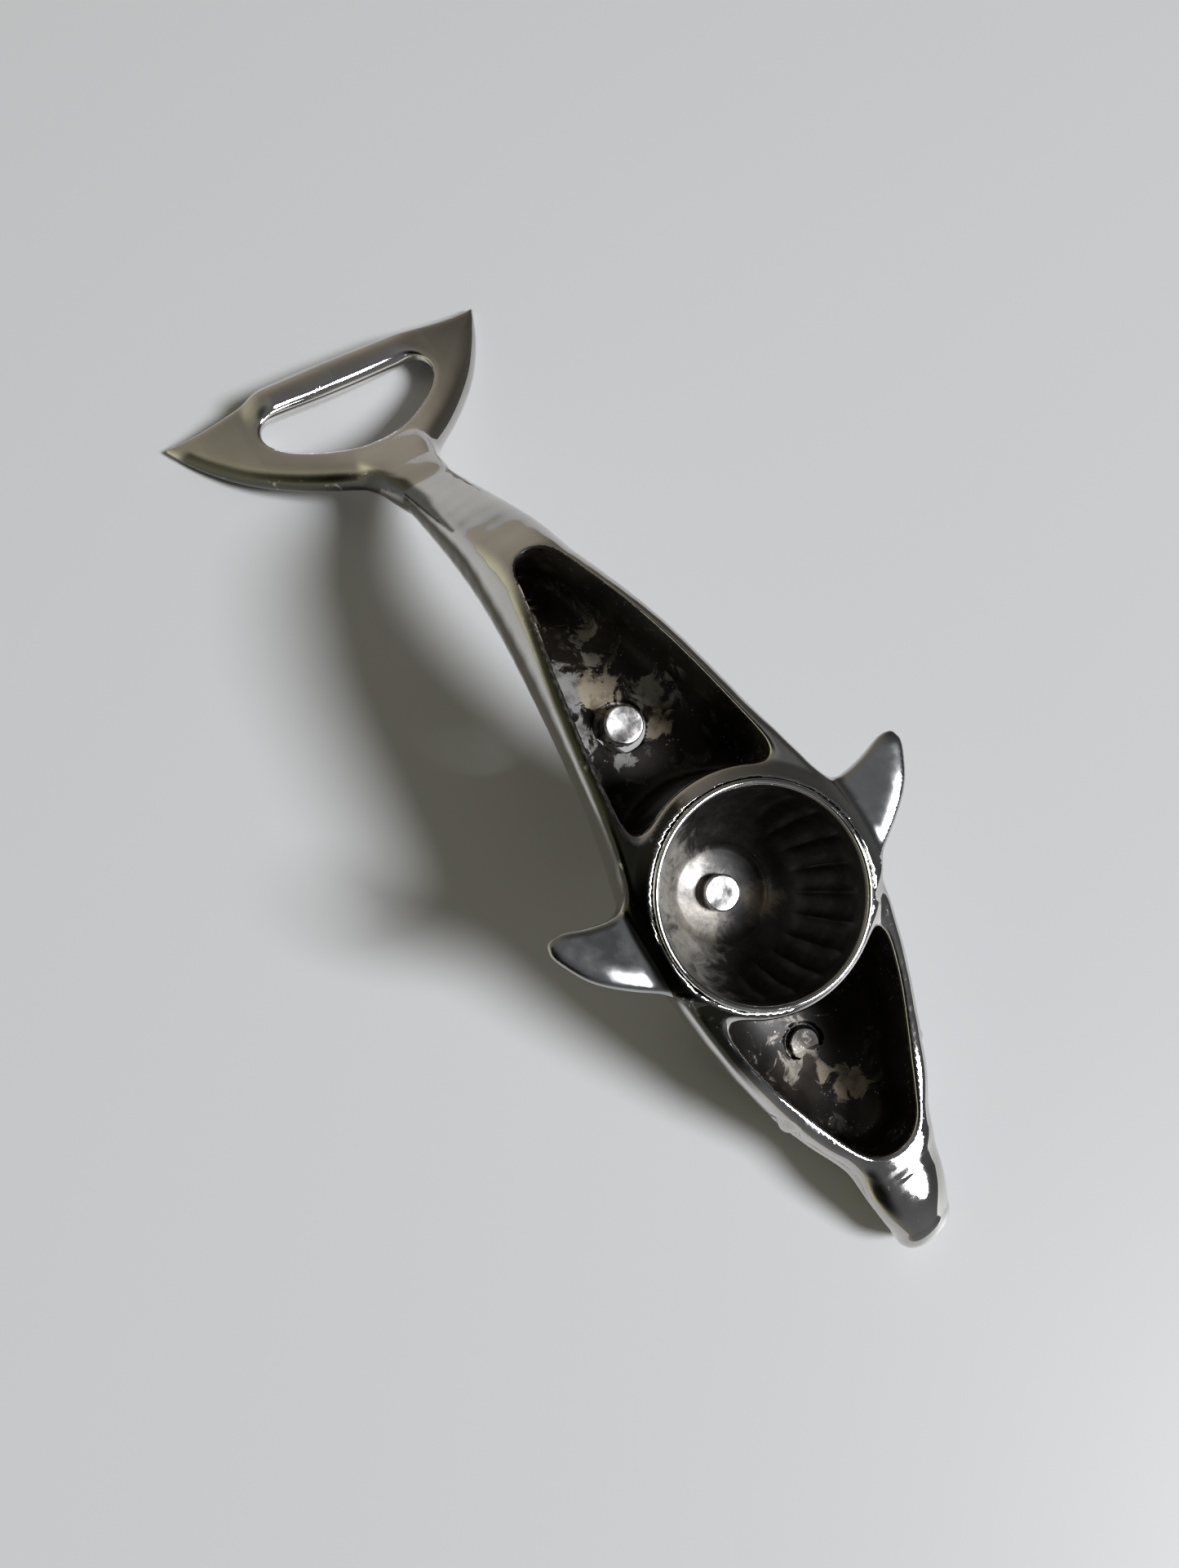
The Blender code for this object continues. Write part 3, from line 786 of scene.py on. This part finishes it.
CHROME_BRIGHT = (0.66, 0.645, 0.62, 1)
CHROME_DULL = (0.50, 0.485, 0.46, 1)
SOOT = (0.016, 0.014, 0.012, 1)
SOOT_WARM = (0.040, 0.030, 0.022, 1)
FLAKE_GREY = (0.27, 0.27, 0.255, 1)
FLAKE_TAN = (0.40, 0.325, 0.225, 1)
DUST = (0.6, 0.59, 0.56, 1)


def chrome_parts(s):
    """Colour, roughness and height of bright plating with cloudy tone, smudges, scratches and pits."""
    cloud = s.ramp(s.noise(90, 4), 0.35, 0.7)
    smudge = s.ramp(s.noise(260, 5, 0.65, 0.6), 0.45, 0.75)
    scratch = s.ramp(s.noise(900, 2, 0.5, 0, s.stretched((1, 0.06, 0.4), (0, 0, 0.35))), 0.6, 0.72)
    pit_zone = s.ramp(s.noise(130, 2), 0.5, 0.62)
    pits = s.maths("MULTIPLY", s.specks(1400, 0.22), pit_zone)
    colour = s.blend(s.maths("MULTIPLY", cloud, 0.45), CHROME_BRIGHT, CHROME_DULL)
    colour = s.blend(s.maths("MULTIPLY", pits, 0.6), colour, (0.16, 0.15, 0.13, 1))
    roughness = s.maths("ADD", s.maths("MULTIPLY", smudge, 0.07), 0.035)
    roughness = s.maths("ADD", roughness, s.maths("MULTIPLY", scratch, 0.06))
    roughness = s.maths("ADD", roughness, s.maths("MULTIPLY", pits, 0.3))
    height = s.maths("SUBTRACT", s.maths("MULTIPLY", s.noise(55, 2), 0.5), s.maths("MULTIPLY", pits, 0.3))
    return colour, roughness, height


def tarnish_parts(s, flaked_and_painted_light, tan):
    """Colour, roughness, height and metallic share of the blackened inside, with grey and tan flakes."""
    warm = s.ramp(s.noise(120, 4), 0.45, 0.65)
    colour = s.blend(warm, SOOT, SOOT_WARM)
    ragged = s.maths("SUBTRACT", s.noise(300, 9, 0.68, 0.9), 0.5)
    ragged = s.maths("ADD", flaked_and_painted_light, s.maths("MULTIPLY", ragged, 1.7))
    flake = s.ramp(ragged, 0.44, 0.58)
    loose = s.ramp(s.noise(300, 6, 0.62, 0.6), 0.55, 0.66)
    flake_colour = s.blend(tan, FLAKE_GREY, FLAKE_TAN)
    flake_colour = s.blend(s.ramp(s.noise(520, 5), 0.42, 0.75, 0, 0.8), flake_colour, SOOT_WARM)
    colour = s.blend(s.maths("MULTIPLY", loose, 0.6), colour, (0.15, 0.135, 0.115, 1))
    colour = s.blend(flake, colour, flake_colour)
    dust = s.maths("MULTIPLY", s.specks(1300, 0.24), s.ramp(s.noise(200, 2), 0.5, 0.62))
    colour = s.blend(dust, colour, DUST)
    roughness = s.maths("ADD", s.maths("MULTIPLY", s.noise(300, 5), 0.35), 0.2)
    height = s.maths("ADD", s.maths("MULTIPLY", s.noise(260, 5), 0.7), s.maths("MULTIPLY", flake, 0.25))
    metallic = s.maths("SUBTRACT", 0.5, s.maths("MULTIPLY", s.maths("MAXIMUM", flake, dust), 0.4))
    return colour, roughness, height, metallic


def wear_and_painted_light_of(s):
    attribute = s.node("ShaderNodeAttribute", attribute_name="wear_and_painted_light").outputs
    parts = s.node("ShaderNodeSeparateColor", {"Color": attribute["Color"]}).outputs
    return parts["Red"], parts["Green"], parts["Blue"], attribute["Alpha"]


def worn_chrome_with_painted_reflection(name):
    """Worn plating outside, blackened inside the pockets, with painted dark reflections on the left."""
    s = Shader(name)
    inside, flaked_and_painted_light, tan, stain_and_painted_reflection = wear_and_painted_light_of(s)
    edge = s.ramp(s.maths("ADD", inside, s.maths("MULTIPLY", s.noise(500, 4), 0.4)), 0.55, 0.75)
    bright, roughness, height = chrome_parts(s)
    # painted dark reflection: along the painted bands the colour goes to dark olive, less so in random gaps
    gaps_in_painted_reflection = s.ramp(s.noise(380, 4, 0.6, 0.5), 0.62, 0.72)
    painted_reflection_share = s.maths("MULTIPLY", stain_and_painted_reflection, s.maths("SUBTRACT", 0.95, s.maths("MULTIPLY", gaps_in_painted_reflection, 0.5)))
    bright = s.blend(painted_reflection_share, bright, (0.030, 0.030, 0.020, 1))
    pairs = zip((bright, roughness, height, 1.0), tarnish_parts(s, flaked_and_painted_light, tan))
    colour, roughness, height, metallic = (s.blend(edge, bright, dark) for bright, dark in pairs)
    return s.finish(colour, roughness, height, 0.18, metallic=metallic)


def cup_chrome_with_painted_light(name):
    """Bright lip over a dulled, mottled brown-grey lining, with rubbed patches painted light on its lit side.
    """
    s = Shader(name)
    inside, flaked_and_painted_light, tan, _ = wear_and_painted_light_of(s)
    mottle = s.ramp(s.noise(330, 7, 0.68, 0.7), 0.36, 0.66)
    colour = s.blend(mottle, (0.030, 0.027, 0.024, 1), (0.012, 0.010, 0.009, 1))
    ragged = s.maths("SUBTRACT", s.noise(260, 9, 0.7, 0.8), 0.5)
    worn_and_painted_light = s.ramp(s.maths("ADD", flaked_and_painted_light, s.maths("MULTIPLY", ragged, 1.2)), 0.22, 0.62)
    # lighter patches where the tarnish has rubbed off, set mostly on the lit side: real rubbing and painted
    # light
    bare_and_painted_light = s.blend(tan, (0.30, 0.285, 0.26, 1), (0.24, 0.19, 0.12, 1))
    bare_and_painted_light = s.blend(mottle, bare_and_painted_light, (0.13, 0.12, 0.105, 1))
    colour = s.blend(worn_and_painted_light, colour, bare_and_painted_light)
    spots = s.ramp(s.noise(800, 5), 0.58, 0.7)
    colour = s.blend(s.maths("MULTIPLY", spots, 0.6), colour, SOOT_WARM)
    roughness = s.ramp(s.noise(340, 5), 0.3, 0.75, 0.30, 0.5)
    height = s.noise(420, 7, 0.65)
    pairs = zip(chrome_parts(s), (colour, roughness, height))
    colour, roughness, height = (s.blend(inside, bright, dark) for bright, dark in pairs)
    return s.finish(colour, roughness, height, 0.2, metallic=s.ramp(inside, 0, 1, 1.0, 0.3))


def satin_chrome(name):
    """Plating with a faint mottle."""
    s = Shader(name)
    cloud = s.ramp(s.noise(170, 5, 0.6), 0.3, 0.75)
    colour = s.blend(cloud, (0.52, 0.52, 0.515, 1), (0.42, 0.42, 0.42, 1))
    roughness = s.ramp(s.noise(420, 5), 0.3, 0.75, 0.10, 0.15)
    return s.finish(colour, roughness, s.noise(380, 4), 0.03, 0.0001)


def pad_metal(name):
    """Bare metal with dark stains."""
    s = Shader(name)
    stain_and_painted_reflection = s.ramp(s.noise(420, 5, 0.6, 0.5), 0.48, 0.66)
    colour = s.blend(stain_and_painted_reflection, (0.56, 0.54, 0.52, 1), (0.22, 0.21, 0.20, 1))
    roughness = s.ramp(s.noise(500, 4), 0.3, 0.7, 0.22, 0.42)
    return s.finish(colour, roughness, s.noise(600, 3), 0.2)


# ---------------------------------------------------------------- stage, light and camera

# in metres, in the frame of the part at rest
CAMERA_PLACE = (-0.06628, 0.04948, 0.18178)
CAMERA_FORWARD = (0.30711, -0.23605, -0.92194)
CAMERA_RIGHT = (-0.54751, -0.83620, 0.03171)
CAMERA_LENS = 27.18
KEY_DIRECTION, KEY_DISTANCE, KEY_SIZE, KEY_POWER = (-0.634, -0.416, 0.652), 3.5, 1.1, 172
KEY_COLOUR = (0.93, 0.95, 1.0)
ROOM_COOL, ROOM_WARM, ROOM_OLIVE = (0.93, 0.96, 1.0, 1), (1.0, 0.91, 0.76, 1), (1.0, 0.965, 0.67, 1)


def add_floor():
    reach = 1.5
    mesh = bpy.data.meshes.new("table")
    mesh.from_pydata([(-reach, -reach, 0), (reach, -reach, 0), (reach, reach, 0), (-reach, reach, 0)], [],
                     [(0, 1, 2, 3)])
    paint = Shader("table_paint", metallic=0.0)
    mesh.materials.append(paint.finish((0.60, 0.60, 0.595, 1), 0.42))
    floor = bpy.data.objects.new("table", mesh)
    bpy.context.collection.objects.link(floor)


def add_softbox(name, direction, distance, size, power, colour):
    """Round soft lamp, aimed at the origin from a direction."""
    light = bpy.data.lights.new(name, "AREA")
    light.shape = "DISK"
    light.size = size
    light.energy = power
    light.color = colour
    lamp = bpy.data.objects.new(name, light)
    bpy.context.collection.objects.link(lamp)
    lamp.location = Vector(direction).normalized() * distance
    lamp.rotation_euler = lamp.location.to_track_quat("Z", "Y").to_euler()


def add_camera():
    """Camera at the photograph's viewpoint, fitted to the cup's rim and to mirrored pairs of points."""
    data = bpy.data.cameras.new("camera")
    camera = bpy.data.objects.new("camera", data)
    bpy.context.collection.objects.link(camera)
    data.lens = CAMERA_LENS
    data.clip_start = 0.005
    forward = Vector(CAMERA_FORWARD).normalized()
    right = Vector(CAMERA_RIGHT)
    right = (right - forward * right.dot(forward)).normalized()
    up = right.cross(forward)
    turn = Matrix((right, up, -forward)).transposed().to_4x4()
    camera.matrix_world = Matrix.Translation(CAMERA_PLACE) @ turn
    bpy.context.scene.camera = camera


def add_world():
    """Dim room for the plating to mirror.

    It is lighter towards the horizon, dimmer at the nose end and on the right, and brighter low down
    on the left, with a dark zone higher up on the left. It goes from cool at the nose end to warm at
    the tail end and olive on the left.
    """
    world = bpy.data.worlds.new("room")
    bpy.context.scene.world = world
    world.use_nodes = True
    tree = world.node_tree
    background = tree.nodes["Background"]
    way = tree.nodes.new("ShaderNodeTexCoord").outputs["Generated"]

    def towards(direction, low, high, at_low, at_high):
        """Value that changes smoothly as the view turns towards a direction."""
        dot = tree.nodes.new("ShaderNodeVectorMath")
        dot.operation = "DOT_PRODUCT"
        tree.links.new(way, dot.inputs[0])
        dot.inputs[1].default_value = Vector(direction).normalized()
        fall = tree.nodes.new("ShaderNodeMapRange")
        fall.interpolation_type = "SMOOTHSTEP"
        tree.links.new(dot.outputs["Value"], fall.inputs["Value"])
        for key, value in zip(("From Min", "From Max", "To Min", "To Max"), (low, high, at_low, at_high)):
            fall.inputs[key].default_value = value
        return fall.outputs["Result"]

    def times(a, b):
        product = tree.nodes.new("ShaderNodeMath")
        product.operation = "MULTIPLY"
        tree.links.new(a, product.inputs[0])
        tree.links.new(b, product.inputs[1])
        return product.outputs["Value"]

    height = towards((0, 0, 1), 0.0, 0.9, 0.34, 0.19)
    nose_end = towards((-1, 0, 0.1), 0.3, 0.9, 1.0, 0.55)
    right = towards((0, -1, 0.25), 0.3, 0.9, 1.0, 0.25)
    left = towards((-0.33, 0.60, 0.73), 0.72, 0.95, 1.0, 0.05)
    glow = towards((0.2, 1, -0.1), 0.2, 0.95, 1.0, 2.0)
    strength = times(times(times(height, nose_end), times(right, left)), glow)
    tree.links.new(strength, background.inputs["Strength"])
    tint = tree.nodes.new("ShaderNodeMix")
    tint.data_type = "RGBA"
    tree.links.new(towards((1, 0, 0), -0.5, 0.8, 0.0, 1.0), tint.inputs[0])
    tint.inputs[6].default_value = ROOM_COOL
    tint.inputs[7].default_value = ROOM_WARM
    olive = tree.nodes.new("ShaderNodeMix")
    olive.data_type = "RGBA"
    tree.links.new(towards((0.1, 1, 0), 0.0, 0.8, 0.0, 1.0), olive.inputs[0])
    tree.links.new(tint.outputs[2], olive.inputs[6])
    olive.inputs[7].default_value = ROOM_OLIVE
    tree.links.new(olive.outputs[2], background.inputs["Color"])


# ---------------------------------------------------------------- the scene

vertices, faces = net(casting, CASTING_LOW, CASTING_HIGH, GRID)
vertices = settle(casting, vertices, faces)
points, groups = divide(vertices, faces)
worn_and_painted_light, satin = worn_chrome_with_painted_reflection("worn_chrome_with_painted_reflection"), satin_chrome("satin_chrome")
for node, node_faces in sorted(groups.items()):
    if node.endswith("flipper"):
        add_skin(node, points, node_faces, satin, "satin_chrome")
    else:
        add_skin(node, points, node_faces, worn_and_painted_light, "polished_chrome")
add_cup(cup_chrome_with_painted_light("cup_chrome_with_painted_light"))
pad_finish = pad_metal("pad_metal")
add_pad("cup_pad", CUP_PAD, pad_finish, "bright_pad", 0.4)
add_pad("rear_pad", REAR_PAD, pad_finish, "bright_pad", 0.4)
add_pad("front_pad", FRONT_PAD, worn_and_painted_light, "tarnished_chrome", 0.3)

bpy.context.scene.view_settings.view_transform = "Standard"
add_floor()
add_softbox("key", KEY_DIRECTION, KEY_DISTANCE, KEY_SIZE, KEY_POWER, KEY_COLOUR)
add_camera()
add_world()
